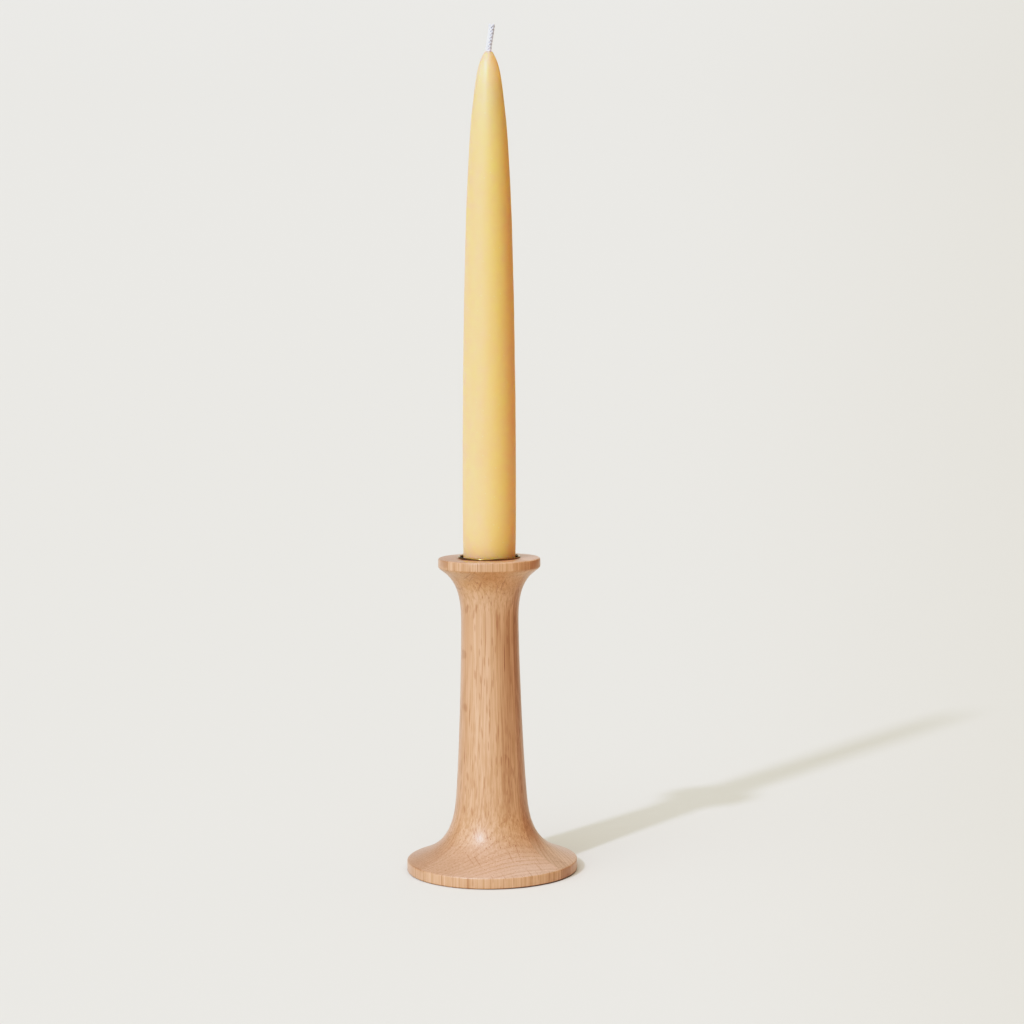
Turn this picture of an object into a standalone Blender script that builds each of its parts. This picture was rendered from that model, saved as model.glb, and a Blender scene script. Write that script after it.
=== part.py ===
"""Turned oak candlestick, with its brass candle cup and a dipped taper candle.

Blender 4.5. Metres, +Z up. The origin is the centre of the underside, and the turning axis is Z.
Run it with: blender --background --python part.py
"""
import math

import bmesh
import bpy
from mathutils import Vector

MM = 0.001

# Driving dimensions: the turned oak body
BODY_HEIGHT = 133.7 * MM
FOOT_RADIUS = 36.3 * MM
FOOT_WALL_TOP = 4.9 * MM
NECK_RADIUS = 12.2 * MM         # the slimmest place of the stem
NECK_HEIGHT = 108.0 * MM
RIM_RADIUS = 21.65 * MM
RIM_THICKNESS = 4.0 * MM
STEM_BASE_RADIUS = 15.25 * MM   # where the foot's flare passes into the stem
STEM_BASE_HEIGHT = 30.6 * MM
JOINT_BEARING = math.radians(52)    # the glue joint's normal, turned from +X towards +Y
SOLE_HEIGHT = 0.15 * MM         # the oak's lower edge stands this far above the table

# Driving dimensions: candle and wick
CANDLE_RADIUS = 11.28 * MM      # the widest place of the taper
CANDLE_FOOT_RADIUS = 10.35 * MM
CANDLE_TIP_HEIGHT = 344.3 * MM
CANDLE_LEAN = math.radians(0.47)    # the loose candle stands a little off plumb, towards +X
WICK_RADIUS = 1.3 * MM
WICK_TOP_HEIGHT = 356.2 * MM
WICK_LEAN = 1.3 * MM            # how far the free end of the wick leans towards +X

# Driving dimensions: cup, screw and pad
CUP_MOUTH_RADIUS = 12.3 * MM
CUP_FLOOR_RADIUS = 10.95 * MM
CUP_DEPTH = 13.4 * MM
CUP_WALL = 0.4 * MM
LIP_BEAD = 0.3 * MM             # half the height of the rolled lip
LIP_RADIUS = 13.3 * MM
SCREW_HEAD_RADIUS = 2.9 * MM
SCREW_SHANK_RADIUS = 0.95 * MM
SCREW_LENGTH = 14.0 * MM
PAD_RADIUS = 32.5 * MM
PAD_THICKNESS = 1.5 * MM

# Clearances
GAP = 0.3 * MM                  # between pieces that touch or are glued
SHANK_GAP = 0.25 * MM
EDGE_EASE = 0.75 * MM           # round on the rim's and the foot's upper edges
SMALL_EASE = 0.4 * MM

# Heights that follow
CUP_FLOOR = BODY_HEIGHT - CUP_DEPTH
BORE_FLOOR = CUP_FLOOR - CUP_WALL - GAP
DIMPLE_DEPTH = 1.3 * MM         # of the countersunk dimple in the cup's floor
DIMPLE_RADIUS = SCREW_HEAD_RADIUS + 0.6 * MM
SHANK_HOLE_RADIUS = DIMPLE_RADIUS - 1.8 * MM
CANDLE_FOOT = CUP_FLOOR + GAP
PAD_RECESS = PAD_THICKNESS + GAP

# Facets round the axis
BODY_FACETS = 64
SMALL_FACETS = 40
SCREW_FACETS = 16

OAK = (0.60, 0.37, 0.21, 1)
OAK_DARK = (0.52, 0.31, 0.18, 1)
BRASS = (0.83, 0.62, 0.28, 1)
STEEL = (0.62, 0.60, 0.57, 1)
WAX = (0.90, 0.68, 0.33, 1)
COTTON = (0.90, 0.91, 0.94, 1)
FELT = (0.23, 0.19, 0.16, 1)


def clear_scene():
    """Remove every object that the scene opens with."""
    for obj in list(bpy.data.objects):
        bpy.data.objects.remove(obj, do_unlink=True)


def new_collection(name):
    """Add a collection to the scene."""
    collection = bpy.data.collections.new(name)
    bpy.context.scene.collection.children.link(collection)
    return collection


def material(name, color, roughness, metallic=0.0):
    """A plain Principled material."""
    mat = bpy.data.materials.new(name)
    mat.use_nodes = True
    shader = mat.node_tree.nodes["Principled BSDF"]
    shader.inputs["Base Color"].default_value = color
    shader.inputs["Roughness"].default_value = roughness
    shader.inputs["Metallic"].default_value = metallic
    mat.diffuse_color = color
    return mat


# Outlines are lists of (radius, height) in the XZ plane, and run down the outer side.

def arc(centre, radius, start_degrees, end_degrees, steps):
    """Points on an arc, both ends included; 0 degrees is outward and 90 is up."""
    points = []
    for step in range(steps + 1):
        turn = math.radians(start_degrees + (end_degrees - start_degrees) * step / steps)
        points.append(Vector(centre) + radius * Vector((math.cos(turn), math.sin(turn))))
    return points


def curve(start, start_handle, end_handle, end, steps):
    """Points on a cubic curve, both ends included; handles are offsets from their ends."""
    start, end = Vector(start), Vector(end)
    first, second = start + Vector(start_handle), end + Vector(end_handle)
    points = []
    for step in range(steps + 1):
        t = step / steps
        points.append(
            (1 - t) ** 3 * start + 3 * (1 - t) ** 2 * t * first
            + 3 * (1 - t) * t ** 2 * second + t ** 3 * end
        )
    return points


def heading(degrees, length):
    """An offset of this length; 0 degrees is outward and 90 is up."""
    turn = math.radians(degrees)
    return Vector((length * math.cos(turn), length * math.sin(turn)))


def without_repeats(points):
    """Drop a point that repeats the one before it."""
    kept = [points[0]]
    for point in points[1:]:
        if (point - kept[-1]).length > 0.01 * MM:
            kept.append(point)
    return kept


def body_outside():
    """The turned outline, from the rim's top edge down to the foot's lower edge."""
    rim_under = BODY_HEIGHT - RIM_THICKNESS
    rim_slope, foot_slope, stem_slope = 55, 21, 95
    flare_top = Vector((RIM_RADIUS - SMALL_EASE, rim_under))
    neck = Vector((NECK_RADIUS, NECK_HEIGHT))
    stem_base = Vector((STEM_BASE_RADIUS, STEM_BASE_HEIGHT))
    foot_edge = Vector((FOOT_RADIUS - EDGE_EASE, FOOT_WALL_TOP - EDGE_EASE))
    foot_round = arc(foot_edge, EDGE_EASE, 90 - foot_slope, 0, 3)

    points = arc((RIM_RADIUS - EDGE_EASE, BODY_HEIGHT - EDGE_EASE), EDGE_EASE, 90, 0, 3)
    points += [Vector((RIM_RADIUS, rim_under + SMALL_EASE))]
    points += curve(flare_top, heading(180 + rim_slope, 3.0 * MM),
                    heading(90, 18.2 * MM), neck, 9)
    points += curve(neck, heading(-90, 15 * MM),
                    heading(stem_slope, 20 * MM), stem_base, 5)
    points += curve(stem_base, heading(stem_slope - 180, 19 * MM),
                    heading(180 - foot_slope, 11.4 * MM), foot_round[0], 11)
    points += foot_round
    points += arc((FOOT_RADIUS - SMALL_EASE, SOLE_HEIGHT + SMALL_EASE), SMALL_EASE, 0, -90, 2)
    return points


def body_outline():
    """The whole outline of the oak: pilot hole, bore, outside, and the pad's recess."""
    pilot_radius = SCREW_SHANK_RADIUS + 2 * SHANK_GAP
    pilot_floor = CUP_FLOOR - SCREW_LENGTH - 1 * MM
    sink_floor = BORE_FLOOR - DIMPLE_DEPTH
    wall_gap = CUP_WALL + GAP
    inside = [
        Vector((0, pilot_floor)),
        Vector((pilot_radius, pilot_floor)),
        Vector((pilot_radius, sink_floor)),
        Vector((SHANK_HOLE_RADIUS + GAP, sink_floor)),
        Vector((DIMPLE_RADIUS + 2 * GAP, BORE_FLOOR)),
        Vector((CUP_FLOOR_RADIUS + wall_gap, BORE_FLOOR)),
        Vector((CUP_MOUTH_RADIUS + wall_gap, BODY_HEIGHT)),
    ]
    underside = [
        Vector((PAD_RADIUS + GAP, SOLE_HEIGHT)),
        Vector((PAD_RADIUS + GAP, PAD_RECESS)),
        Vector((0, PAD_RECESS)),
    ]
    return inside + body_outside() + underside


def cup_outline():
    """The cup's closed section: rolled lip, tapered wall, and floor with a countersunk dimple."""
    lip_centre = BODY_HEIGHT + 0.15 * MM + LIP_BEAD
    mouth_outside = CUP_MOUTH_RADIUS + CUP_WALL
    floor_outside = CUP_FLOOR_RADIUS + CUP_WALL
    underside = CUP_FLOOR - CUP_WALL
    dimple_floor = CUP_FLOOR - DIMPLE_DEPTH
    corner = 1.0 * MM
    outside = arc((LIP_RADIUS - LIP_BEAD, lip_centre), LIP_BEAD, 90, -90, 5)
    outside += [
        Vector((mouth_outside, lip_centre - LIP_BEAD)),
        Vector((mouth_outside, BODY_HEIGHT - GAP)),
        Vector((floor_outside, underside + corner)),
        Vector((floor_outside - corner, underside)),
        Vector((DIMPLE_RADIUS + GAP, underside)),
        Vector((SHANK_HOLE_RADIUS, dimple_floor - CUP_WALL)),
    ]
    inside = [
        Vector((SHANK_HOLE_RADIUS, dimple_floor)),
        Vector((DIMPLE_RADIUS, CUP_FLOOR)),
        Vector((CUP_FLOOR_RADIUS - corner, CUP_FLOOR)),
        Vector((CUP_FLOOR_RADIUS, CUP_FLOOR + corner)),
        Vector((CUP_MOUTH_RADIUS, lip_centre - LIP_BEAD)),
    ]
    inside += arc((CUP_MOUTH_RADIUS + 2 * LIP_BEAD, lip_centre - LIP_BEAD), 2 * LIP_BEAD, 165, 90, 3)
    return outside + inside


def screw_outline():
    """The screw's outline, from the top of its head to its point, with ridges for its thread."""
    head_top = CUP_FLOOR - 0.1 * MM
    neck_height = head_top - DIMPLE_DEPTH - 0.35 * MM
    thread_top = neck_height - 1.5 * MM
    point_top = head_top - SCREW_LENGTH + 2.5 * MM
    pitch = 1.1 * MM
    crest = SCREW_SHANK_RADIUS + SHANK_GAP
    turns = int((thread_top - point_top) / pitch)
    points = [
        Vector((0, head_top)),
        Vector((SCREW_HEAD_RADIUS, head_top)),
        Vector((SCREW_HEAD_RADIUS, head_top - 0.15 * MM)),
        Vector((SCREW_SHANK_RADIUS, neck_height)),
    ]
    for turn in range(turns):
        root = thread_top - turn * pitch
        points += [Vector((SCREW_SHANK_RADIUS, root)), Vector((crest, root - pitch / 2))]
    points += [Vector((SCREW_SHANK_RADIUS, point_top)), Vector((0, head_top - SCREW_LENGTH))]
    return points


def candle_outline():
    """The taper's closed section round the wick's hole, with heights above the candle's foot."""
    length = CANDLE_TIP_HEIGHT - CANDLE_FOOT
    hole = WICK_RADIUS + GAP
    tip = Vector((hole + SMALL_EASE, length))
    shoulder = Vector((6.86 * MM, length - 23.2 * MM))
    widest = Vector((CANDLE_RADIUS, length - 178 * MM))
    foot = Vector((CANDLE_FOOT_RADIUS, EDGE_EASE))
    points = curve(tip, heading(-56, 6.2 * MM), heading(97, 10.3 * MM), shoulder, 7)
    points += curve(shoulder, heading(-83, 28.5 * MM), heading(90, 38 * MM), widest, 8)
    points += curve(widest, heading(-90, 18 * MM), heading(86.5, 19 * MM), foot, 4)
    points += [Vector((CANDLE_FOOT_RADIUS - EDGE_EASE, 0)), Vector((hole, 0)), Vector((hole, length))]
    return points


def turned(name, outline, facets, mat, collection, closed=False):
    """A piece turned from its outline by a Screw modifier."""
    points = without_repeats(outline)
    edges = [(i, i + 1) for i in range(len(points) - 1)]
    if closed:
        edges.append((len(points) - 1, 0))
    mesh = bpy.data.meshes.new(name)
    mesh.from_pydata([(radius, 0, height) for radius, height in points], edges, [])
    mesh.materials.append(mat)
    obj = bpy.data.objects.new(name, mesh)
    collection.objects.link(obj)
    spin = obj.modifiers.new("Turn", 'SCREW')
    spin.axis = 'Z'
    spin.steps = facets
    spin.render_steps = facets
    spin.use_merge_vertices = True
    spin.merge_threshold = 0.01 * MM
    return obj


def box_cutter(name, size, location, turn_z, collection):
    """A box that only cuts other pieces."""
    mesh = bpy.data.meshes.new(name)
    bm = bmesh.new()
    bmesh.ops.create_cube(bm, size=1.0)
    bmesh.ops.scale(bm, vec=size, verts=bm.verts)
    bm.to_mesh(mesh)
    bm.free()
    cutter = bpy.data.objects.new(name, mesh)
    cutter.location = location
    cutter.rotation_euler.z = turn_z
    cutter.hide_render = True
    cutter.display_type = 'WIRE'
    collection.objects.link(cutter)
    return cutter


def cut(obj, cutter):
    """Take the cutter's space out of a piece."""
    boolean = obj.modifiers.new(cutter.name, 'BOOLEAN')
    boolean.operation = 'DIFFERENCE'
    boolean.solver = 'EXACT'
    boolean.object = cutter


def oak_halves(parts, cutters):
    """The turned body, which is two boards glued face to face: one half on each side of the joint."""
    reach = 160 * MM
    away = Vector((math.cos(JOINT_BEARING), math.sin(JOINT_BEARING), 0))
    sides = (("oak_half_front", OAK, 1), ("oak_half_back", OAK_DARK, -1))
    for name, color, side in sides:
        half = turned(name, body_outline(), BODY_FACETS, material(name, color, 0.45), parts)
        centre = away * side * (reach - GAP) / 2 + Vector((0, 0, BODY_HEIGHT / 2))
        cutter = box_cutter(name + "_cutter", (reach, reach, reach), centre, JOINT_BEARING, cutters)
        cut(half, cutter)


def candle_cup(parts):
    """The brass cup that lines the bore."""
    brass = material("candle_cup", BRASS, 0.25, metallic=1.0)
    turned("candle_cup", cup_outline(), SMALL_FACETS, brass, parts, closed=True)


def cup_screw(parts, cutters):
    """The countersunk screw that holds the cup down, with a cross recess in its head."""
    steel = material("cup_screw", STEEL, 0.35, metallic=1.0)
    screw = turned("cup_screw", screw_outline(), SCREW_FACETS, steel, parts)
    recess = (3.2 * MM, 0.7 * MM, 1.6 * MM)
    for index in range(2):
        name = "screw_recess_%d_cutter" % (index + 1)
        cutter = box_cutter(name, recess, (0, 0, CUP_FLOOR), math.radians(20 + 90 * index), cutters)
        cut(screw, cutter)


def felt_pad(parts):
    """The felt disc let into the underside; it stands just proud of the oak and meets the table."""
    felt = material("felt_pad", FELT, 0.95)
    outline = [
        Vector((0, PAD_THICKNESS)),
        Vector((PAD_RADIUS, PAD_THICKNESS)),
        Vector((PAD_RADIUS, 0)),
        Vector((0, 0)),
    ]
    turned("felt_pad", outline, BODY_FACETS, felt, parts)


def wick_points():
    """Centre line of the wick, above the candle's foot: straight in the wax, then leaning."""
    base = GAP
    exit_height = CANDLE_TIP_HEIGHT - CANDLE_FOOT
    free = WICK_TOP_HEIGHT - CANDLE_TIP_HEIGHT
    steps = 6
    points = [(0, 0, base), (0, 0, exit_height / 2), (0, 0, exit_height)]
    for step in range(1, steps + 1):
        share = step / steps
        lean = WICK_LEAN * share * share * (3 - 2 * share)
        points.append((lean, 0, exit_height + free * share))
    return points


def candle_and_wick(parts):
    """The leaning candle with its wick, on the upright axis along which they lift out of the cup."""
    lift = bpy.data.objects.new("candle_lift", None)
    lift.location = (0, 0, CANDLE_FOOT)
    lift.empty_display_size = 0.02
    parts.objects.link(lift)

    wax = material("candle", WAX, 0.4)
    candle = turned("candle", candle_outline(), SMALL_FACETS, wax, parts, closed=True)
    candle.rotation_euler.y = CANDLE_LEAN
    candle.parent = lift

    line = bpy.data.curves.new("wick", 'CURVE')
    line.dimensions = '3D'
    line.bevel_depth = WICK_RADIUS
    line.bevel_resolution = 3
    line.use_fill_caps = True
    line.materials.append(material("wick", COTTON, 0.9))
    points = wick_points()
    spline = line.splines.new('POLY')
    spline.points.add(len(points) - 1)
    for spot, place in zip(spline.points, points):
        spot.co = (*place, 1)
    wick = bpy.data.objects.new("wick", line)
    wick.rotation_euler.y = CANDLE_LEAN
    wick.parent = lift
    parts.objects.link(wick)


def main():
    clear_scene()
    parts = new_collection("wooden_candlestick")
    cutters = new_collection("cutters")
    oak_halves(parts, cutters)
    candle_cup(parts)
    cup_screw(parts, cutters)
    felt_pad(parts)
    candle_and_wick(parts)


main()
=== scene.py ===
"""The looks of the turned oak candlestick: oak boards, brass cup, screw, felt, dipped candle, wick.

Blender 4.5. Metres, +Z up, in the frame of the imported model. Sizes below are in millimetres times MM.
"""
import math
import random

import bpy
from mathutils import Euler, Matrix, Vector, noise


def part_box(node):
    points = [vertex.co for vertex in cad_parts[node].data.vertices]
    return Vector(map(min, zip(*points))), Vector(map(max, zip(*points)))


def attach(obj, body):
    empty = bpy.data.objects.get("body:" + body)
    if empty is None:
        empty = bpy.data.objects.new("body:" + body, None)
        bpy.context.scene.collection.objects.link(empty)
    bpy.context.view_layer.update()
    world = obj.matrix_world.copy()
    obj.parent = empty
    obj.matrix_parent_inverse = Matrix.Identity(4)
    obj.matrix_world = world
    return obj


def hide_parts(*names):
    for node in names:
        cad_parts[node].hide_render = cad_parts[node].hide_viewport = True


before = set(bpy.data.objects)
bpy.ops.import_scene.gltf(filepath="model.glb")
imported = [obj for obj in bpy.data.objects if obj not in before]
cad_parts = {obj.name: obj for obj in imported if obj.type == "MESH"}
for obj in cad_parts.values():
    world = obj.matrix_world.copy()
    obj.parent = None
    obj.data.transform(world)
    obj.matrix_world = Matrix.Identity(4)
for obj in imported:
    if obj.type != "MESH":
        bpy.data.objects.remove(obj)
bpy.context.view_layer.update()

MM = 0.001

# Sizes read from the imported model's parts
OAK_LOW = Vector(map(min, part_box("oak_half_front")[0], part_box("oak_half_back")[0]))
OAK_HIGH = Vector(map(max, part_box("oak_half_front")[1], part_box("oak_half_back")[1]))
BODY_HEIGHT = OAK_HIGH.z
FOOT_RADIUS = (OAK_HIGH.x - OAK_LOW.x) / 2
SOLE_HEIGHT = OAK_LOW.z
PAD_RADIUS = (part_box("felt_pad")[1].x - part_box("felt_pad")[0].x) / 2
PAD_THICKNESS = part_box("felt_pad")[1].z
LIP_RADIUS = (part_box("candle_cup")[1].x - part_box("candle_cup")[0].x) / 2
SCREW_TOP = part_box("cup_screw")[1].z
SCREW_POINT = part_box("cup_screw")[0].z
SCREW_HEAD_RADIUS = (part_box("cup_screw")[1].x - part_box("cup_screw")[0].x) / 2
CANDLE_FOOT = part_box("candle")[0].z
WICK_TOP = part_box("wick")[1].z

# The turned outline between those sizes
FOOT_WALL_TOP = 4.9 * MM
NECK = Vector((12.2 * MM, 108 * MM))
STEM_BASE = Vector((15.25 * MM, 30.6 * MM))
RIM_RADIUS = 21.65 * MM
RIM_THICKNESS = 4.0 * MM
EDGE_EASE = 0.75 * MM
SMALL_EASE = 0.4 * MM
SOLE_EASE = 0.5 * MM
JOINT_BEARING = math.radians(52)
JOINT_GAP = 0.02 * MM

# The cup in its bore
CUP_MOUTH_RADIUS = 12.3 * MM
CUP_FLOOR_RADIUS = 10.95 * MM
CUP_FLOOR = BODY_HEIGHT - 13.4 * MM
CUP_WALL = 0.4 * MM
DIMPLE_DEPTH = 1.3 * MM
DIMPLE_RADIUS = SCREW_HEAD_RADIUS + 0.6 * MM
SHANK_HOLE_RADIUS = DIMPLE_RADIUS - 1.8 * MM
SHANK_RADIUS = 0.95 * MM

# The candle
CANDLE_TIP = 344.8 * MM
CANDLE_LEAN = math.radians(0.47)
CANDLE_RADIUS = 11.28 * MM
CANDLE_FOOT_RADIUS = 10.35 * MM
TIP_RADIUS = 1.65 * MM
WICK_RADIUS = 1.3 * MM
WICK_LEAN = 1.3 * MM
FREE_WICK = 11 * MM
SOLID_TIP = 14 * MM
HOLE_POINT = 1 * MM

# The photograph's view, in metres and radians
LENS_MM, SENSOR_MM = 77.4, 36
CAMERA_PLACE = (0, -0.9268, 0.2283)
CAMERA_PITCH, CAMERA_YAW, CAMERA_ROLL = 0.0811, 0.0106, -0.0092

# The key lamp
KEY_BEARING, KEY_HEIGHT = -37, 36.5
KEY_WIDTH = math.radians(3.2)
KEY_STRENGTH = 1.36
KEY_COLOR = (0.75, 0.785, 1.0)

# The room's soft light: each lobe's bearing and height in degrees, its sharpness and its colour
ROOM_LOBES = (
    (-30, 75, 3.0, (0.62, 0.63, 0.60)),
    (170, 58, 2.0, (0.55, 0.56, 0.54)),
    (-32, 25, 3.0, (1.36, 1.39, 1.30)),
    (-37, 54, 60.0, (0.7, 0.95, 1.5)),
    (105, 8, 2.0, (0.50, 0.225, 0.03)),
)
ROOM_FILL = (0.035, 0.034, 0.030, 1)

# A radius below this lies on the axis
ON_AXIS = 1e-9

# The oak's growth rings, in millimetres
HEART_DISTANCE = 110.0
RING_WIDTH = 2.1


# ---------------------------------------------------------------- camera, floor and light

def add_camera():
    """A long lens at the height and distance that give the photograph's view."""
    data = bpy.data.cameras.new("camera")
    data.sensor_width = SENSOR_MM
    data.lens = LENS_MM
    camera = bpy.data.objects.new("camera", data)
    turn = Euler((math.pi / 2 - CAMERA_PITCH, 0, -CAMERA_YAW)).to_matrix()
    turn = turn @ Matrix.Rotation(CAMERA_ROLL, 3, 'Z')
    camera.matrix_world = Matrix.Translation(CAMERA_PLACE) @ turn.to_4x4()
    bpy.context.scene.collection.objects.link(camera)
    bpy.context.scene.camera = camera


def sweep_mesh():
    """Floor, cove and wall in one smooth sheet."""
    half_width, front, cove_start, cove_radius, top = 30.0, -30.0, 1.0, 40.0, 6.0
    line = [(front, 0), (-1.0, 0), (cove_start - 0.4, 0), (cove_start, 0)]
    steps = 48
    for step in range(1, steps + 1):
        turn = math.pi / 2 * step / steps
        height = cove_radius * (1 - math.cos(turn))
        if height < top:
            line.append((cove_start + cove_radius * math.sin(turn), height))
    verts = [(side * half_width, y, z) for y, z in line for side in (-1, 1)]
    faces = [(2 * i, 2 * i + 1, 2 * i + 3, 2 * i + 2) for i in range(len(line) - 1)]
    mesh = bpy.data.meshes.new("sweep")
    mesh.from_pydata(verts, [], faces)
    mesh.shade_smooth()
    return mesh


def sweep_paper():
    """Pale matt paper with painted falloff, a little deeper far away and towards the right, and painted
    dark, warm shade far to the right for the dim side of the room.
    """
    paper = Shader("sweep_paper")
    spot = paper.split(paper.add("ShaderNodeTexCoord").outputs["Object"])
    # painted falloff: the paper deepens with distance, as the light falls off
    far = paper.math('DIVIDE', spot["Y"], 12.5, clamp=True)
    reach = paper.math('MAXIMUM', paper.math('ADD', spot["Y"], 1.0), 0.3)
    aside = paper.math('DIVIDE', spot["X"], reach)
    base = paper.mix(far, (0.790, 0.786, 0.744), (0.721, 0.714, 0.672))
    # painted falloff: the paper deepens towards the right, as the light falls off
    base = paper.mix(paper.fade(aside, 0.05, 0.30), base, (0.925, 0.915, 0.885), blend='MULTIPLY')
    # painted shade: far to the right, beyond the camera's view, the paper turns dark and warm for the
    # dim side of the room, cutting the bounce on the shade side
    base = paper.mix(paper.fade(aside, 0.28, 0.60), base, (0.20, 0.11, 0.06))
    paper.principled(base=base, roughness=0.95, specular=0.1)
    return paper.material


def add_sweep():
    """A pale studio sweep behind and under the candlestick."""
    mesh = sweep_mesh()
    sweep = bpy.data.objects.new("sweep", mesh)
    bpy.context.scene.collection.objects.link(sweep)
    mesh.materials.append(sweep_paper())


def aim(obj, location, target):
    """Place a lamp and point it at the target."""
    obj.location = location
    obj.rotation_euler = (Vector(target) - Vector(location)).to_track_quat('-Z', 'Y').to_euler()
    bpy.context.scene.collection.objects.link(obj)


def lamp_direction(bearing_degrees, height_degrees):
    """A unit vector towards a lamp; bearing 0 is the camera's side and positive is to the right."""
    bearing, height = math.radians(bearing_degrees), math.radians(height_degrees)
    return Vector((math.sin(bearing) * math.cos(height), -math.cos(bearing) * math.cos(height),
                   math.sin(height)))


def add_key():
    """A small, slightly cool key from the front left: it throws the one clear shadow."""
    key = bpy.data.lights.new("key", 'SUN')
    key.energy = KEY_STRENGTH
    key.angle = KEY_WIDTH
    key.color = KEY_COLOR
    aim(bpy.data.objects.new("key", key), lamp_direction(KEY_BEARING, KEY_HEIGHT) * 3, (0, 0, 0))


def room_lobe(tree, place, bearing, height, sharpness):
    """How far a direction lies towards this one: 1 at its middle and 0 from a right angle on."""
    along = tree.nodes.new("ShaderNodeVectorMath")
    along.operation = 'DOT_PRODUCT'
    tree.links.new(place, along.inputs[0])
    along.inputs[1].default_value = lamp_direction(bearing, height)
    front = tree.nodes.new("ShaderNodeMath")
    front.operation = 'MAXIMUM'
    tree.links.new(along.outputs["Value"], front.inputs[0])
    front.inputs[1].default_value = 0.0
    power = tree.nodes.new("ShaderNodeMath")
    power.operation = 'POWER'
    tree.links.new(front.outputs[0], power.inputs[0])
    power.inputs[1].default_value = sharpness
    return power.outputs[0]


def add_dome():
    """Soft light from all round: strongest from the front left, and faint and warm at the right."""
    world = bpy.data.worlds.new("room")
    world.use_nodes = True
    tree = world.node_tree
    place = tree.nodes.new("ShaderNodeTexCoord").outputs["Generated"]
    total = tree.nodes.new("ShaderNodeRGB").outputs[0]
    total.default_value = ROOM_FILL
    for bearing, height, sharpness, color in ROOM_LOBES:
        tinted = tree.nodes.new("ShaderNodeVectorMath")
        tinted.operation = 'SCALE'
        tinted.inputs[0].default_value = color
        amount = room_lobe(tree, place, bearing, height, sharpness)
        tree.links.new(amount, tinted.inputs["Scale"])
        summed = tree.nodes.new("ShaderNodeVectorMath")
        tree.links.new(total, summed.inputs[0])
        tree.links.new(tinted.outputs[0], summed.inputs[1])
        total = summed.outputs[0]
    tree.links.new(total, tree.nodes["Background"].inputs["Color"])
    bpy.context.scene.world = world


def set_tone():
    """Plain sRGB with a photograph's toe and shoulder: dark tones sink and the lightest level off."""
    view = bpy.context.scene.view_settings
    view.view_transform = 'Standard'
    view.use_curve_mapping = True
    tone = view.curve_mapping.curves[3]
    tone.points[-1].location = (1.0, 0.885)
    toe = ((0.08, 0.037), (0.15, 0.093), (0.25, 0.205), (0.4, 0.395))
    shoulder = ((0.8, 0.8), (0.88, 0.845))
    for light, shown in toe + shoulder:
        tone.points.new(light, shown)
    view.curve_mapping.extend = 'HORIZONTAL'
    view.curve_mapping.update()


# ---------------------------------------------------------------- shader building

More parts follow.
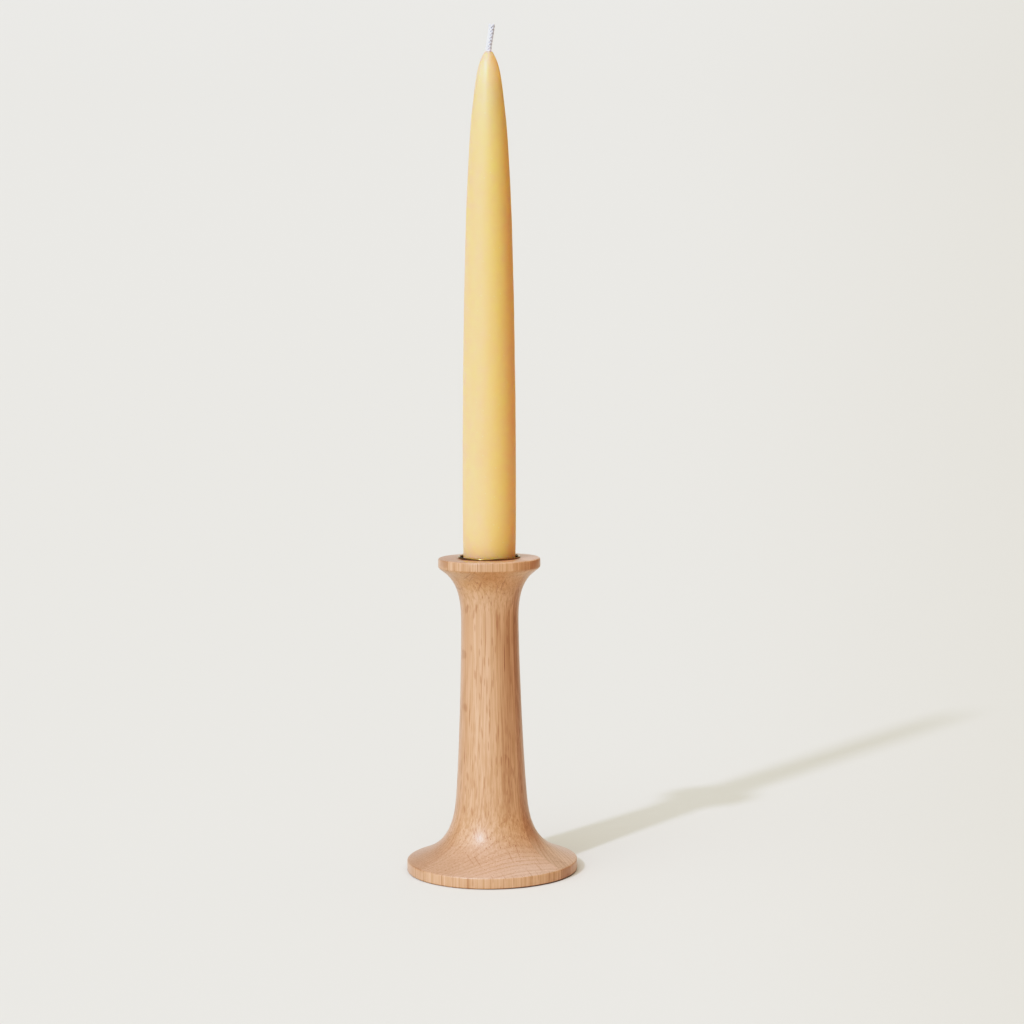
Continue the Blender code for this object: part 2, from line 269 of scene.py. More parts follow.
class Shader:
    """A material's node tree, with short calls for the nodes that the finishes below use."""

    def __init__(self, name):
        self.material = bpy.data.materials.new(name)
        self.material.use_nodes = True
        self.tree = self.material.node_tree
        self.surface = self.tree.nodes["Principled BSDF"]

    def add(self, kind, **settings):
        """A node of this kind, with its own settings."""
        node = self.tree.nodes.new(kind)
        for key, value in settings.items():
            setattr(node, key, value)
        return node

    def put(self, socket, value):
        """Link an output to an input socket, or set the socket's own value."""
        if isinstance(value, bpy.types.NodeSocket):
            self.tree.links.new(value, socket)
        elif isinstance(value, (tuple, list)) and socket.type == 'RGBA' and len(value) == 3:
            socket.default_value = (*value, 1)
        else:
            socket.default_value = value

    def math(self, operation, a, b=0.0, c=0.0, clamp=False):
        """A Math node's result."""
        node = self.add("ShaderNodeMath", operation=operation, use_clamp=clamp)
        for socket, value in zip(node.inputs, (a, b, c)):
            self.put(socket, value)
        return node.outputs[0]

    def vector(self, operation, a, b=(0, 0, 0)):
        """A Vector Math node's result."""
        node = self.add("ShaderNodeVectorMath", operation=operation)
        self.put(node.inputs[0], a)
        self.put(node.inputs[1], b)
        return node.outputs["Value" if operation in ('LENGTH', 'DOT_PRODUCT') else "Vector"]

    def split(self, vector):
        """A vector's parts, as outputs named X, Y and Z."""
        node = self.add("ShaderNodeSeparateXYZ")
        self.put(node.inputs[0], vector)
        return node.outputs

    def place(self, turn_z=0.0, shift=(0, 0, 0)):
        """The object's own coordinates in millimetres, turned about Z and shifted."""
        coords = self.add("ShaderNodeTexCoord").outputs["Object"]
        turned = self.add("ShaderNodeMapping")
        self.put(turned.inputs["Vector"], coords)
        turned.inputs["Rotation"].default_value = (0, 0, turn_z)
        turned.inputs["Scale"].default_value = (1 / MM, 1 / MM, 1 / MM)
        return self.vector('ADD', turned.outputs["Vector"], shift)

    def noise(self, vector, scale=1.0, detail=2.0, roughness=0.5, color=False):
        """Noise from 0 to 1, or a noise colour."""
        node = self.add("ShaderNodeTexNoise")
        self.put(node.inputs["Vector"], vector)
        node.inputs["Scale"].default_value = scale
        node.inputs["Detail"].default_value = detail
        node.inputs["Roughness"].default_value = roughness
        return node.outputs["Color" if color else "Fac"]

    def cells(self, vector):
        """Voronoi cells: the distance from the nearest cell's point."""
        node = self.add("ShaderNodeTexVoronoi")
        self.put(node.inputs["Vector"], vector)
        node.inputs["Scale"].default_value = 1.0
        return node.outputs["Distance"]

    def fade(self, value, start, end, low=0.0, high=1.0):
        """A smooth step that runs from low at start to high at end."""
        node = self.add("ShaderNodeMapRange", interpolation_type='SMOOTHSTEP')
        self.put(node.inputs["Value"], value)
        for name, number in (("From Min", start), ("From Max", end), ("To Min", low), ("To Max", high)):
            self.put(node.inputs[name], number)
        return node.outputs["Result"]

    def band(self, value, rise, fall):
        """1 between two soft edges, each given by its start and end, and 0 outside them."""
        return self.math('MULTIPLY', self.fade(value, *rise), self.fade(value, *fall, 1.0, 0.0))

    def ramp(self, value, stops):
        """A colour ramp with these (position, colour) stops."""
        node = self.add("ShaderNodeValToRGB")
        self.put(node.inputs["Fac"], value)
        elements = node.color_ramp.elements
        while len(elements) < len(stops):
            elements.new(0.5)
        for element, (position, color) in zip(elements, stops):
            element.position = position
            element.color = (*color, 1)
        return node.outputs["Color"]

    def mix(self, factor, a, b, blend='MIX'):
        """Two colours mixed; the Mix node's colour inputs are its seventh and eighth."""
        node = self.add("ShaderNodeMix", data_type='RGBA', blend_type=blend)
        self.put(node.inputs["Factor"], factor)
        self.put(node.inputs[6], a)
        self.put(node.inputs[7], b)
        return node.outputs[2]

    def bump(self, height, depth, strength):
        """A bump normal from a height of 0 to 1 that stands for this depth in metres."""
        node = self.add("ShaderNodeBump")
        self.put(node.inputs["Height"], height)
        node.inputs["Distance"].default_value = depth
        node.inputs["Strength"].default_value = strength
        return node.outputs["Normal"]

    def principled(self, base, roughness, metallic=0.0, specular=0.5, normal=None):
        """Set or link the Principled shader's inputs."""
        inputs = self.surface.inputs
        self.put(inputs["Base Color"], base)
        self.put(inputs["Roughness"], roughness)
        self.put(inputs["Metallic"], metallic)
        self.put(inputs["Specular IOR Level"], specular)
        if normal is not None:
            self.put(inputs["Normal"], normal)

    def coat(self, weight, roughness):
        """A clear coat over the surface."""
        self.surface.inputs["Coat Weight"].default_value = weight
        self.surface.inputs["Coat Roughness"].default_value = roughness


# ---------------------------------------------------------------- finishes

def oak_wood(s, ring_bearing, lean, shift):
    """Coordinates in the wood, in millimetres: X across the rings, Y along them and Z up the grain."""
    upright = s.place(turn_z=math.pi / 2 - ring_bearing, shift=shift)
    tilted = s.add("ShaderNodeMapping")
    s.put(tilted.inputs["Vector"], upright)
    tilted.inputs["Rotation"].default_value = (lean, 0, 0)
    grain = tilted.outputs["Vector"]
    # the grain wanders slowly, far less along the board than across it
    drift = s.noise(s.vector('MULTIPLY', grain, (0.045, 0.045, 0.006)), detail=2, color=True)
    drift = s.vector('MULTIPLY', s.vector('SUBTRACT', drift, (0.5, 0.5, 0.5)), (1.8, 1.2, 0))
    return s.vector('ADD', grain, drift)


def oak_rings(s, wood):
    """Growth rings bent round a far-off heart: where the early wood is, and one random tone a ring."""
    spot = s.split(wood)
    flat = s.add("ShaderNodeCombineXYZ")
    s.put(flat.inputs["X"], s.math('ADD', spot["X"], HEART_DISTANCE))
    s.put(flat.inputs["Y"], spot["Y"])
    across = s.math('SUBTRACT', s.vector('LENGTH', flat.outputs[0]), HEART_DISTANCE)
    uneven = s.add("ShaderNodeTexNoise", noise_dimensions='1D')
    s.put(uneven.inputs["W"], s.math('MULTIPLY', across, 0.22))
    ring = s.math('ADD', s.math('DIVIDE', across, RING_WIDTH), uneven.outputs["Fac"])
    early = s.band(s.math('FRACT', ring), (0.0, 0.12), (0.20, 0.55))
    ring_tone = s.add("ShaderNodeTexWhiteNoise", noise_dimensions='1D')
    s.put(ring_tone.inputs["W"], s.math('FLOOR', ring))
    return early, ring_tone.outputs["Value"]


def oak_vessels(s, wood, early):
    """Long thin pores, wide in the early wood, and a few long dark dashes anywhere."""
    tubes = s.cells(s.vector('MULTIPLY', wood, (1.7, 1.7, 0.028)))
    pore_size = s.math('MULTIPLY_ADD', early, 0.20, 0.16)
    pores = s.fade(s.math('SUBTRACT', pore_size, tubes), -0.05, 0.06)
    long_cells = s.cells(s.vector('MULTIPLY', wood, (0.70, 0.70, 0.018)))
    dashes = s.fade(long_cells, 0.08, 0.15, 1.0, 0.0)
    return pores, dashes


def oak_rays(s, wood):
    """Rays, as flat lenses across the rings: broad ones, which are few, and fine ones everywhere."""
    broad_cells = s.cells(s.vector('MULTIPLY', wood, (0.010, 0.26, 0.034)))
    broad = s.fade(broad_cells, 0.04, 0.10, 1.0, 0.0)
    fine_cells = s.cells(s.vector('MULTIPLY', wood, (0.030, 0.80, 0.09)))
    fine = s.fade(fine_cells, 0.12, 0.24, 1.0, 0.0)
    return broad, fine


def oak_fibres(s, wood, early, ring_tone):
    """The fine fibres, and the tone of them with broad streaks, clouds and rings: 0 light, 1 dark."""
    threads = s.noise(s.vector('MULTIPLY', wood, (1.2, 1.2, 0.003)), detail=3, roughness=0.7)
    streaks = s.noise(s.vector('MULTIPLY', wood, (0.42, 0.42, 0.004)), detail=2)
    clouds = s.noise(s.vector('MULTIPLY', wood, (0.09, 0.09, 0.02)), detail=2)
    fibres = s.fade(threads, 0.41, 0.59)
    tone = s.math('MULTIPLY_ADD', fibres, 0.40, s.math('MULTIPLY', clouds, 0.20))
    tone = s.math('ADD', tone, s.fade(streaks, 0.34, 0.66, 0.0, 0.20))
    tone = s.math('ADD', tone, s.math('MULTIPLY', ring_tone, 0.06))
    tone = s.math('ADD', tone, s.math('MULTIPLY', early, 0.08))
    return fibres, tone


def oak_faces(s, color, early, depth, distance, ends):
    """Upward faces are paler, partly the end grain's own tone and partly painted sheen, and downward
    faces, such as the underside of the rim, get painted shade.
    """
    facing = s.split(s.add("ShaderNodeTexCoord").outputs["Normal"])
    # painted sheen on upward faces, mixed with the end grain's own tone
    end_grain_and_sheen = s.fade(facing["Z"], 0.20, 0.92, 0.0, 0.45)
    # painted shade on downward faces, such as the underside of the rim
    underside_shade = s.fade(facing["Z"], -0.60, -0.15, 0.40, 0.0)
    end_and_sheen_tone = s.mix(s.fade(depth, distance + 9, distance + 36), *ends)
    color = s.mix(end_grain_and_sheen, color, end_and_sheen_tone)
    color = s.mix(s.math('MULTIPLY', end_grain_and_sheen, early), color, (0.46, 0.27, 0.17))
    return s.mix(underside_shade, color, (0.56, 0.27, 0.10))


def oak_placed_tones(s, color, depth, distance, deeper, strip_top):
    """Tones at set places on the turning: a strip, a band of painted shade, a patch, and a painted
    contact shadow at the sole's edge.
    """
    spot = s.split(s.place())

    # the wood behind a straight line is a slightly deeper tone, up to the strip's top
    strip = s.fade(depth, distance - 0.1, distance + 0.1, 1.0, 0.0)
    strip = s.math('MULTIPLY', strip, s.fade(spot["Z"], strip_top - 6, strip_top + 6, 1.0, 0.0))
    color = s.mix(strip, color, deeper, blend='MULTIPLY')

    # a deeper band down the right of the stem: painted shade for its sharp turn into shade, partly the
    # grain's own darker figure
    band = s.math('MULTIPLY', s.band(spot["X"], (3.2, 5.2), (7.8, 9.8)),
                  s.band(spot["Z"], (20, 32), (96, 112)))
    color = s.mix(band, color, (0.88, 0.85, 0.82), blend='MULTIPLY')

    # a paler patch at the right of the rim
    patch = s.math('MULTIPLY', s.fade(spot["X"], -4, 8), s.fade(spot["Z"], 100, 124))
    color = s.mix(patch, color, (1.14, 1.14, 1.15), blend='MULTIPLY')

    # painted contact shadow at the sole's edge, dark where it meets the table and darkest at the right,
    # in the cast shadow
    sole = s.fade(spot["Z"], 0.35, 0.80, 0.8, 0.0)
    sole = s.math('MULTIPLY', sole, s.fade(spot["X"], -10, 20, 0.2, 1.0))
    return s.mix(sole, color, (0.08, 0.045, 0.03))


def oak(name, ring_bearing, lean, shift, light, dark, ray_tone, ends, strip):
    """Oak as a solid: growth rings, vessels along the grain and rays across the rings, cut by any face.

    ends: the upward faces' tone near the strip and far from it, the end grain's own tone with painted
    sheen. strip: the bearing and distance of a straight line, the tint of the wood behind it, and the
    height in millimetres where the tint stops.
    """
    s = Shader(name)
    wood = oak_wood(s, ring_bearing, lean, shift)
    early, ring_tone = oak_rings(s, wood)
    pores, dashes = oak_vessels(s, wood, early)
    broad, fine = oak_rays(s, wood)
    fibres, tone = oak_fibres(s, wood, early, ring_tone)
    bearing, distance, deeper, strip_top = strip
    depth = s.vector('DOT_PRODUCT', s.place(), (math.sin(bearing), -math.cos(bearing), 0))

    color = s.ramp(tone, ((0.12, light), (0.95, dark)))
    color = oak_faces(s, color, early, depth, distance, ends)
    color = s.mix(s.math('MULTIPLY', pores, 0.42), color, (0.33, 0.15, 0.08))
    for marks, strength in ((fine, 0.34), (broad, 0.30), (dashes, 0.72)):
        color = s.mix(s.math('MULTIPLY', marks, strength), color, ray_tone)
    color = oak_placed_tones(s, color, depth, distance, deeper, strip_top)

    roughness = s.math('MULTIPLY_ADD', pores, 0.22, s.math('MULTIPLY_ADD', fibres, 0.10, 0.42))
    height = s.math('SUBTRACT', s.math('MULTIPLY', fibres, 0.15), pores)
    s.principled(base=color, roughness=roughness, specular=0.3, normal=s.bump(height, 0.05 * MM, 0.5))
    s.coat(1.0, 0.36)
    s.surface.inputs["Coat IOR"].default_value = 1.45
    return s.material


def brass():
    """Spun brass: fine turning lines round the cup, handled unevenly, and dark all over for a painted
    reflection of the dim room round the lip.
    """
    s = Shader("cup_brass")
    spot = s.place()
    flat = s.vector('LENGTH', s.vector('MULTIPLY', spot, (1, 1, 0)))
    lines_per_mm = 9.0
    rings = s.add("ShaderNodeCombineXYZ")
    s.put(rings.inputs["X"], s.math('MULTIPLY', flat, lines_per_mm))
    s.put(rings.inputs["Y"], s.math('MULTIPLY', s.split(spot)["Z"], lines_per_mm))
    lines = s.noise(rings.outputs[0], detail=3, roughness=0.6)
    smudge = s.noise(spot, scale=0.35, detail=3)
    # the brass colours are kept dark as a painted reflection of the dim room; the two tones are uneven
    # handling
    color = s.mix(s.fade(smudge, 0.35, 0.75), (0.38, 0.28, 0.12), (0.25, 0.18, 0.08))
    roughness = s.math('MULTIPLY_ADD', smudge, 0.12, 0.11)
    s.principled(base=color, roughness=roughness, metallic=1.0, normal=s.bump(lines, 0.01 * MM, 0.4))
    return s.material


def steel():
    """Zinc-plated steel, with a faint mottle."""
    s = Shader("screw_steel")
    mottle = s.noise(s.place(), scale=1.6, detail=3)
    color = s.mix(mottle, (0.52, 0.50, 0.47), (0.68, 0.67, 0.64))
    s.principled(base=color, roughness=s.math('MULTIPLY_ADD', mottle, 0.2, 0.25), metallic=1.0,
                 normal=s.bump(mottle, 0.01 * MM, 0.3))
    return s.material


def wax():
    """Dipped wax: translucent and satin, with slow ripples and tiny pale pits."""
    s = Shader("candle_wax")
    spot = s.place()
    ripple = s.noise(s.vector('MULTIPLY', spot, (0.25, 0.25, 0.10)), detail=2)
    grainy = s.noise(spot, scale=2.2, detail=3, roughness=0.6)
    pits = s.fade(s.cells(s.vector('MULTIPLY', spot, (0.28, 0.28, 0.28))), 0.03, 0.10, 1.0, 0.0)
    color = s.mix(ripple, (0.93, 0.575, 0.33), (0.91, 0.555, 0.30))
    parts = s.split(spot)
    tip = CANDLE_TIP / MM

    # painted light: a yellower tone where the lit side turns into the shade side, standing in for
    # yellowish fill light there
    painted_fill_band = s.band(parts["X"], (-4, 5), (5, 11))
    color = s.mix(painted_fill_band, color, (0.96, 0.635, 0.30))

    # painted glow: warmer towards the tip, where light shines through the thin wax
    thin = s.fade(parts["Z"], tip - 40, tip)
    color = s.mix(thin, color, (0.99, 0.58, 0.38))
    thinnest = s.fade(parts["Z"], tip - 10, tip)
    color = s.mix(thinnest, color, (1.0, 0.49, 0.36))
    color = s.mix(s.math('MULTIPLY', pits, 0.35), color, (0.92, 0.80, 0.58))
    height = s.math('ADD', ripple, s.math('MULTIPLY', grainy, 0.06))
    height = s.math('SUBTRACT', height, s.math('MULTIPLY', pits, 0.25))
    roughness = s.math('MULTIPLY_ADD', grainy, 0.12, 0.36)
    s.principled(base=color, roughness=roughness, specular=0.5, normal=s.bump(height, 0.10 * MM, 0.6))
    inputs = s.surface.inputs
    inputs["Subsurface Weight"].default_value = 1.0
    inputs["Subsurface Radius"].default_value = (1.0, 0.74, 0.08)
    inputs["Subsurface Scale"].default_value = 19 * MM
    s.coat(0.2, 0.45)
    return s.material


def cotton():
    """Waxed cotton yarn: pale, with fine fibres."""
    s = Shader("wick_cotton")
    spot = s.place()
    fibres = s.noise(s.vector('MULTIPLY', spot, (9, 9, 2.5)), detail=3)
    color = s.mix(fibres, (0.86, 0.88, 0.95), (0.74, 0.77, 0.88))
    s.principled(base=color, roughness=0.8, specular=0.3, normal=s.bump(fibres, 0.03 * MM, 0.6))
    return s.material


def felt():
    """Matted wool felt."""
    s = Shader("pad_felt")
    spot = s.place()
    tufts = s.noise(spot, scale=1.8, detail=5, roughness=0.7)
    threads = s.cells(s.vector('MULTIPLY', spot, (2.5, 2.5, 6)))
    color = s.mix(tufts, (0.030, 0.022, 0.016), (0.085, 0.066, 0.050))
    height = s.math('MULTIPLY_ADD', tufts, 0.7, s.math('MULTIPLY', threads, 0.3))
    s.principled(base=color, roughness=0.95, specular=0.15, normal=s.bump(height, 0.25 * MM, 0.8))
    s.surface.inputs["Sheen Weight"].default_value = 0.4
    s.surface.inputs["Sheen Roughness"].default_value = 0.5
    return s.material


# ---------------------------------------------------------------- outlines: (radius, height)

def arc(centre, radius, start_degrees, end_degrees, steps):
    """Points on an arc, both ends included; 0 degrees is outward and 90 is up."""
    points = []
    for step in range(steps + 1):
        turn = math.radians(start_degrees + (end_degrees - start_degrees) * step / steps)
        points.append(Vector(centre) + radius * Vector((math.cos(turn), math.sin(turn))))
    return points


def heading(degrees, length):
    """An offset of this length; 0 degrees is outward and 90 is up."""
    turn = math.radians(degrees)
    return Vector((length * math.cos(turn), length * math.sin(turn)))


def curve(start, start_handle, end_handle, end, steps):
    """Points on a cubic curve, both ends included; handles are offsets from their ends."""
    start, end = Vector(start), Vector(end)
    first, second = start + Vector(start_handle), end + Vector(end_handle)
    points = []
    for step in range(steps + 1):
        t = step / steps
        points.append(
            (1 - t) ** 3 * start + 3 * (1 - t) ** 2 * t * first
            + 3 * (1 - t) * t ** 2 * second + t ** 3 * end
        )
    return points


def straight(start, end, steps):
    """Points on a straight run, its end left out."""
    start, end = Vector(start), Vector(end)
    return [start.lerp(end, step / steps) for step in range(steps)]


def without_repeats(points):
    """Drop a point that repeats the one before it."""
    kept = [Vector(points[0])]
    for point in points[1:]:
        if (Vector(point) - kept[-1]).length > 0.001 * MM:
            kept.append(Vector(point))
    return kept


def body_outline():
    """The oak's outline: pilot hole, bore, rim, flares, foot, and the pad's recess."""
    rim_under = BODY_HEIGHT - RIM_THICKNESS
    rim_slope, foot_slope, stem_slope = 55, 21, 95
    bore_floor = CUP_FLOOR - CUP_WALL - 0.1 * MM
    pilot_radius = SHANK_RADIUS + 0.1 * MM
    sink_floor = bore_floor - DIMPLE_DEPTH
    wall = CUP_WALL + 0.1 * MM
    points = [
        (0, SCREW_POINT - 0.5 * MM),
        (pilot_radius, SCREW_POINT - 0.5 * MM),
        (pilot_radius, sink_floor),
        (SHANK_HOLE_RADIUS + 0.1 * MM, sink_floor),
        (DIMPLE_RADIUS + CUP_WALL + 0.1 * MM, bore_floor),
        (CUP_FLOOR_RADIUS + wall, bore_floor),
        (CUP_MOUTH_RADIUS + wall, BODY_HEIGHT - 0.3 * MM),
        (CUP_MOUTH_RADIUS + wall + 0.3 * MM, BODY_HEIGHT),
    ]
    points += arc((RIM_RADIUS - EDGE_EASE, BODY_HEIGHT - EDGE_EASE), EDGE_EASE, 90, 0, 8)
    points += arc((RIM_RADIUS - SMALL_EASE, rim_under + SMALL_EASE), SMALL_EASE, 0, rim_slope - 90, 5)
    points += curve(points[-1], heading(180 + rim_slope, 3.0 * MM), heading(90, 18.2 * MM), NECK, 36)
    points += curve(NECK, heading(-90, 15 * MM), heading(stem_slope, 20 * MM), STEM_BASE, 36)
    foot_round = arc((FOOT_RADIUS - EDGE_EASE, FOOT_WALL_TOP - EDGE_EASE), EDGE_EASE,
                     90 - foot_slope, 0, 8)
    points += curve(STEM_BASE, heading(stem_slope - 180, 19 * MM),
                    heading(180 - foot_slope, 11.4 * MM), foot_round[0], 48)
    points += foot_round
    points += arc((FOOT_RADIUS - SOLE_EASE, SOLE_HEIGHT + SOLE_EASE), SOLE_EASE, 0, -90, 5)
    recess, recess_top = PAD_RADIUS + 0.15 * MM, PAD_THICKNESS + 0.05 * MM
    points += [(recess, SOLE_HEIGHT), (recess, recess_top), (0, recess_top)]
    return without_repeats(points)


def cup_outline():
    """The cup's closed section: a rolled bead for a lip, a tapered wall, and a dimpled floor."""
    bead = 0.36 * MM
    bead_height = BODY_HEIGHT + bead + 0.02 * MM
    corner = 1.2 * MM
    underside = CUP_FLOOR - CUP_WALL
    dimple_floor = CUP_FLOOR - DIMPLE_DEPTH
    points = arc((LIP_RADIUS - bead, bead_height), bead, 150, -110, 18)
    points += [(CUP_MOUTH_RADIUS + CUP_WALL + 0.25 * MM, BODY_HEIGHT + 0.03 * MM),
               (CUP_MOUTH_RADIUS + CUP_WALL, BODY_HEIGHT - 0.3 * MM)]
    points += arc((CUP_FLOOR_RADIUS + CUP_WALL - corner, underside + corner), corner, 0, -90, 6)
    points += [(DIMPLE_RADIUS + CUP_WALL, underside), (SHANK_HOLE_RADIUS, dimple_floor - CUP_WALL)]
    points += [(SHANK_HOLE_RADIUS, dimple_floor), (DIMPLE_RADIUS, CUP_FLOOR)]
    inner = corner - 0.4 * MM
    points += arc((CUP_FLOOR_RADIUS - inner, CUP_FLOOR + inner), inner, -90, 0, 6)
    points += curve((CUP_MOUTH_RADIUS, BODY_HEIGHT - 0.4 * MM), (0, 0.5 * MM), (-0.4 * MM, -0.05 * MM),
                    points[0], 8)[:-1]
    return without_repeats(points)


def screw_outline():
    """The countersunk screw, from the top of its head to its point, with ridges for the thread."""
    neck = SCREW_TOP - DIMPLE_DEPTH - 0.35 * MM
    pitch, crest = 1.1 * MM, SHANK_RADIUS + 0.25 * MM
    thread_top, point_top = neck - 1.5 * MM, SCREW_POINT + 2.5 * MM
    points = [(0, SCREW_TOP), (SCREW_HEAD_RADIUS - 0.15 * MM, SCREW_TOP),
              (SCREW_HEAD_RADIUS, SCREW_TOP - 0.12 * MM), (SHANK_RADIUS, neck)]
    height = thread_top
    while height > point_top:
        points += [(SHANK_RADIUS, height)]
        points += [(crest, height - 0.45 * pitch), (crest, height - 0.55 * pitch)]
        height -= pitch
    points += [(SHANK_RADIUS, point_top), (0, SCREW_POINT)]
    return without_repeats(points)


def candle_outline():
    """The taper's section, down to its foot and up the wick's hole; the wax is solid near the tip."""
    shoulder = Vector((6.86 * MM, CANDLE_TIP - 23.6 * MM))
    widest = Vector((CANDLE_RADIUS, CANDLE_TIP - 178.5 * MM))
    foot = Vector((CANDLE_FOOT_RADIUS, CANDLE_FOOT + EDGE_EASE))
    points = [(0, CANDLE_TIP + 0.1 * MM)]
    points += curve((TIP_RADIUS, CANDLE_TIP), heading(-57, 6.7 * MM),
                    heading(97, 10.3 * MM), shoulder, 40)
    points += curve(shoulder, heading(-83, 28.5 * MM), heading(90, 38 * MM), widest, 70)
    points += curve(widest, heading(-90, 17.8 * MM), heading(86.5, 19.3 * MM), foot, 40)
    points += arc((CANDLE_FOOT_RADIUS - EDGE_EASE, CANDLE_FOOT + EDGE_EASE), EDGE_EASE, 0, -90, 6)
    hole = WICK_RADIUS - 0.1 * MM
    hole_top = CANDLE_TIP - SOLID_TIP
    points += [(hole, CANDLE_FOOT), (hole, hole_top), (0, hole_top + HOLE_POINT)]
    return without_repeats(points)


# ---------------------------------------------------------------- meshes

def finish_piece(name, verts, faces, material, sharp_degrees=35):
    """An object from plain vertices and faces, shaded smooth apart from its sharp edges."""
    mesh = bpy.data.meshes.new(name)
    mesh.from_pydata([tuple(v) for v in verts], [], faces)
    mesh.validate()
    mesh.shade_smooth()
    mesh.set_sharp_from_angle(angle=math.radians(sharp_degrees))
    mesh.materials.append(material)
    obj = bpy.data.objects.new(name, mesh)
    bpy.context.scene.collection.objects.link(obj)
    return obj


def turned_rows(outline, angles):
    """A row of vertices at these angles for each outline point; a point on the axis is one pole."""
    verts, rows = [], []
    for radius, height in outline:
        if radius < ON_AXIS:
            rows.append([len(verts)] * len(angles))
            verts.append(Vector((0, 0, height)))
            continue
        rows.append(list(range(len(verts), len(verts) + len(angles))))
        for turn in angles:
            verts.append(Vector((radius * math.cos(turn), radius * math.sin(turn), height)))
    return verts, rows


def faces_between(upper, lower):
    """Quads between two rows, or triangles where one row is a pole."""
    faces = []
    for k in range(len(upper) - 1):
        unique = list(dict.fromkeys([upper[k], lower[k], lower[k + 1], upper[k + 1]]))
        if len(unique) > 2:
            faces.append(unique)
    return faces


def lathe(outline, facets, closed=False):
    """Vertices and faces of a full turn; a closed outline joins its last point to its first."""
    verts, rows = turned_rows(outline, [2 * math.pi * k / facets for k in range(facets)])
    pairs = list(zip(rows, rows[1:]))
    if closed:
        pairs.append((rows[-1], rows[0]))
    faces = []
    for upper, lower in pairs:
        faces += faces_between(upper + upper[:1], lower + lower[:1])
    return verts, faces


def half_lathe(outline, facets, start):
    """Vertices and faces of a half turn from the start angle, closed by its flat section."""
    verts, rows = turned_rows(outline, [start + math.pi * k / facets for k in range(facets + 1)])
    faces = []
    for upper, lower in zip(rows, rows[1:]):
        faces += faces_between(upper, lower)
    near = [row[0] for row in rows]
    far = [row[-1] for row in rows]
    section = list(dict.fromkeys(near + far[::-1]))
    faces.append(section[::-1])
    return verts, faces


def tube(points, radii, sides):
    """Vertices and faces of a closed tube along the points, one radius for each."""
    verts, faces = [], []
    tangent = (points[1] - points[0]).normalized()
    side = tangent.orthogonal().normalized()
    for i, (point, radius) in enumerate(zip(points, radii)):
        ahead = points[min(i + 1, len(points) - 1)] - points[max(i - 1, 0)]
        turn = tangent.rotation_difference(ahead.normalized())
        side = (turn @ side).normalized()
        tangent = ahead.normalized()
        other = tangent.cross(side)
        for k in range(sides):
            a = 2 * math.pi * k / sides
            verts.append(point + radius * (math.cos(a) * side + math.sin(a) * other))
    for i in range(len(points) - 1):
        for k in range(sides):
            n = (k + 1) % sides
            a, b = i * sides, (i + 1) * sides
            faces.append([a + k, a + n, b + n, b + k])
    faces.append(list(range(sides))[::-1])
    last = (len(points) - 1) * sides
    faces.append([last + k for k in range(sides)])
    return verts, faces


def joined(parts):
    """Several (vertices, faces) pairs as one."""
    verts, faces = [], []
    for part_verts, part_faces in parts:
        base = len(verts)
        verts += part_verts
        faces += [[base + i for i in face] for face in part_faces]
    return verts, faces


# ---------------------------------------------------------------- pieces

def oak_boards():
    """The two boards of the body, each a half turn with its flat glued face."""
    front = oak("oak_front", ring_bearing=math.radians(27), lean=math.radians(0.4), shift=(0, 0, 0),
                light=(0.69, 0.436, 0.285), dark=(0.49, 0.276, 0.152), ray_tone=(0.30, 0.12, 0.06),
                ends=((0.45, 0.26, 0.185), (0.69, 0.54, 0.47)),
                strip=(math.radians(28.9), 3.2, (0.93, 0.89, 0.86), 200))
    back = oak("oak_back", ring_bearing=math.radians(118), lean=math.radians(-2), shift=(31, 17, 9),
               light=(0.60, 0.35, 0.22), dark=(0.41, 0.22, 0.12), ray_tone=(0.26, 0.11, 0.055),
               ends=((0.74, 0.58, 0.47), (0.74, 0.58, 0.47)),
               strip=(math.radians(142), 7.5, (0.88, 0.86, 0.84), 18))
    away = Vector((math.cos(JOINT_BEARING), math.sin(JOINT_BEARING), 0))
    sides = (("oak_board_front", "oak_half_front", "oak_front", front, -1),
             ("oak_board_back", "oak_half_back", "oak_back", back, 1))
    for name, node, slot, material, side in sides:
        start = JOINT_BEARING - math.pi / 2 * side
        verts, faces = half_lathe(body_outline(), 160, start)
        verts = [v + away * side * JOINT_GAP / 2 for v in verts]
        board = finish_piece(name, verts, faces, material)
        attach(board, "holder")
        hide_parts(node)


def brass_cup():
    """The lining cup, with its rolled lip on the oak."""
    verts, faces = lathe(cup_outline(), 160, closed=True)
    cup = finish_piece("brass_cup", verts, faces, brass())
    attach(cup, "holder")
    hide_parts("candle_cup")


def recess_blade(index):
    """A thin box through the top of the screw's head, one of two that make a cross."""
    half = Vector((1.5 * MM, 0.33 * MM, 0.9 * MM))
    signs = [(x, y, z) for x in (-1, 1) for y in (-1, 1) for z in (-1, 1)]
    corners = [(x * half.x, y * half.y, z * half.z) for x, y, z in signs]
    quads = [(0, 1, 3, 2), (4, 6, 7, 5), (0, 4, 5, 1), (2, 3, 7, 6), (0, 2, 6, 4), (1, 5, 7, 3)]
    mesh = bpy.data.meshes.new("recess")
    mesh.from_pydata(corners, [], quads)
    blade = bpy.data.objects.new("recess_%d" % index, mesh)
    blade.location = (0, 0, SCREW_TOP)
    blade.rotation_euler.z = math.radians(20 + 90 * index)
    bpy.context.scene.collection.objects.link(blade)
    bpy.context.view_layer.update()
    return blade


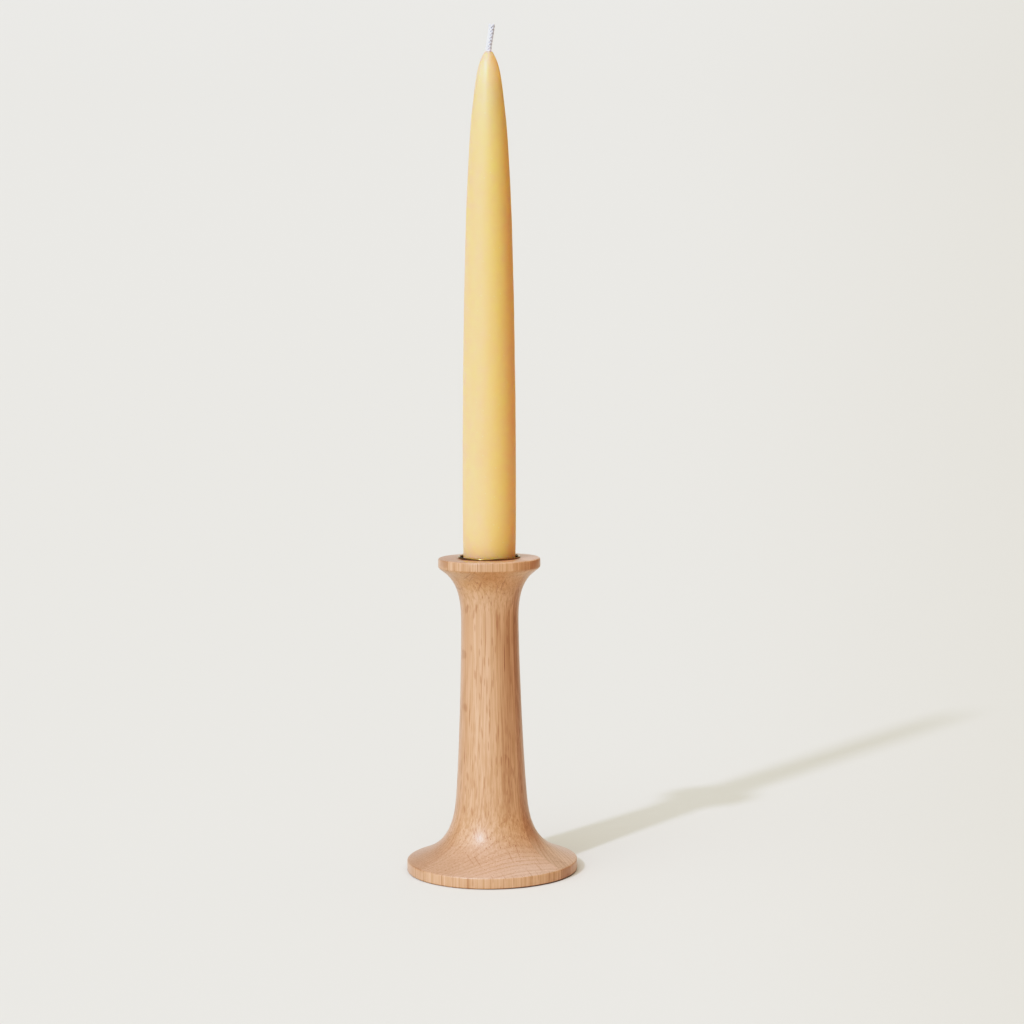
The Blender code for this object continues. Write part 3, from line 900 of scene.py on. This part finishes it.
def cut_away(piece, cutter):
    """Take the cutter's shape out of the piece's mesh, and remove the cutter."""
    cut = piece.modifiers.new("recess", 'BOOLEAN')
    cut.object = cutter
    cut.operation = 'DIFFERENCE'
    depsgraph = bpy.context.evaluated_depsgraph_get()
    cut_mesh = bpy.data.meshes.new_from_object(piece.evaluated_get(depsgraph))
    piece.modifiers.clear()
    piece.data = cut_mesh
    bpy.data.objects.remove(cutter)


def holding_screw():
    """The screw under the candle, with a cross recess cut into its head."""
    verts, faces = lathe(screw_outline(), 48)
    screw = finish_piece("holding_screw", verts, faces, steel())
    for index in range(2):
        cut_away(screw, recess_blade(index))
    screw.data.set_sharp_from_angle(angle=math.radians(35))
    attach(screw, "holder")
    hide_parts("cup_screw")


def felt_disc():
    """The felt under the foot, with a slightly ragged cut edge."""
    ease = 0.3 * MM
    outline = [(0, PAD_THICKNESS)]
    outline += straight((1 * MM, PAD_THICKNESS), (PAD_RADIUS - ease, PAD_THICKNESS), 10)
    outline += arc((PAD_RADIUS - ease, PAD_THICKNESS - ease), ease, 90, 0, 4)
    outline += arc((PAD_RADIUS - ease, ease), ease, 0, -90, 4)
    outline += straight((PAD_RADIUS - 2 * ease, 0), (1 * MM, 0), 10)
    outline += [(0, 0)]
    verts, faces = lathe(without_repeats(outline), 200)
    for v in verts:
        radius = v.xy.length
        if radius > PAD_RADIUS - 2 * ease:
            ragged = 0.06 * MM * noise.noise(v * 900)
            v.xy *= 1 + ragged / radius - 0.0015
    pad = finish_piece("felt_disc", verts, faces, felt())
    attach(pad, "holder")
    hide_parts("felt_pad")


def leaning(verts):
    """The vertices turned about the candle's foot by the candle's lean."""
    foot = Vector((0, 0, CANDLE_FOOT))
    turn = Matrix.Rotation(CANDLE_LEAN, 3, 'Y')
    return [foot + turn @ (v - foot) for v in verts]


def taper_candle():
    """The dipped taper: slightly uneven in girth and in line, as wax from a dipping vat is."""
    verts, faces = lathe(candle_outline(), 128, closed=True)
    for v in verts:
        radius = v.xy.length
        if radius > 1.5 * MM:
            spot = Vector((v.x / radius * 1.2, v.y / radius * 1.2, v.z * 45))
            uneven = 0.07 * MM * noise.noise(spot) + 0.03 * MM * noise.noise(spot * 3.1)
            share = min(1.0, (radius - 1.5 * MM) / (4 * MM))
            v.xy *= 1 + uneven * share / radius
    candle = finish_piece("taper_candle", leaning(verts), faces, wax())
    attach(candle, "taper")
    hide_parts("candle")


def wick_line(share):
    """A place on the free wick: 0 at the wax and 1 at its cut end."""
    lean = WICK_LEAN * share * share * (3 - 2 * share)
    return Vector((lean, 0, CANDLE_TIP + (WICK_TOP - 0.25 * MM - CANDLE_TIP) * share))


def wick_yarn(index):
    """One of the plait's eight yarns: four turn each way, and all open a little at the cut end."""
    steps, laps, below = 90, 1.9, 0.25
    way = 1 if index < 4 else -1
    points, radii = [], []
    for step in range(steps + 1):
        share = -below + (1 + below) * step / steps
        angle = way * 2 * math.pi * laps * share + math.pi / 2 * (index % 4)
        open_up = max(0.0, (share - 0.8) / 0.2)
        reach = 0.80 * MM + way * 0.16 * MM * math.cos(4 * angle) + 0.25 * MM * open_up ** 2
        centre = wick_line(max(share, 0)) + Vector((0, 0, min(share, 0) * FREE_WICK))
        points.append(centre + Vector((reach * math.cos(angle), reach * math.sin(angle), 0)))
        radii.append(0.40 * MM * (1 - 0.18 * open_up))
    return tube(points, radii, 8)


def loose_fibre(rng):
    """A fine fibre that springs outward near the cut end."""
    angle, start = rng.uniform(0, 2 * math.pi), rng.uniform(0.82, 0.97)
    out = rng.uniform(0.35, 0.9) * MM
    base = wick_line(start)
    steps = 6
    points, radii = [], []
    for step in range(steps + 1):
        t = step / steps
        spread = 0.7 * MM + out * t * t
        rise = (1 - start) * FREE_WICK * t + 0.05 * MM
        points.append(base + Vector((spread * math.cos(angle), spread * math.sin(angle), rise)))
        radii.append(0.07 * MM * (1 - 0.6 * step / steps))
    return tube(points, radii, 5)


def wick_core():
    """The wick's run in the wax, from the candle's foot to just above the tip."""
    core_top = CANDLE_TIP + 1 * MM
    heights = (CANDLE_FOOT + 0.02 * MM, 0.5 * (CANDLE_FOOT + core_top), core_top)
    return tube([Vector((0, 0, height)) for height in heights], [0.95 * MM] * 3, 24)


def braided_wick():
    """Eight yarns plaited round each other, loose fibres at the cut end, and the run in the wax."""
    rng = random.Random(7)
    parts = [wick_yarn(index) for index in range(8)]
    parts += [loose_fibre(rng) for _ in range(22)]
    parts.append(wick_core())
    verts, faces = joined(parts)
    wick = finish_piece("braided_wick", leaning(verts), faces, cotton(), sharp_degrees=60)
    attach(wick, "taper")
    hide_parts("wick")


add_camera()
add_sweep()
add_key()
add_dome()
set_tone()
oak_boards()
brass_cup()
holding_screw()
felt_disc()
taper_candle()
braided_wick()
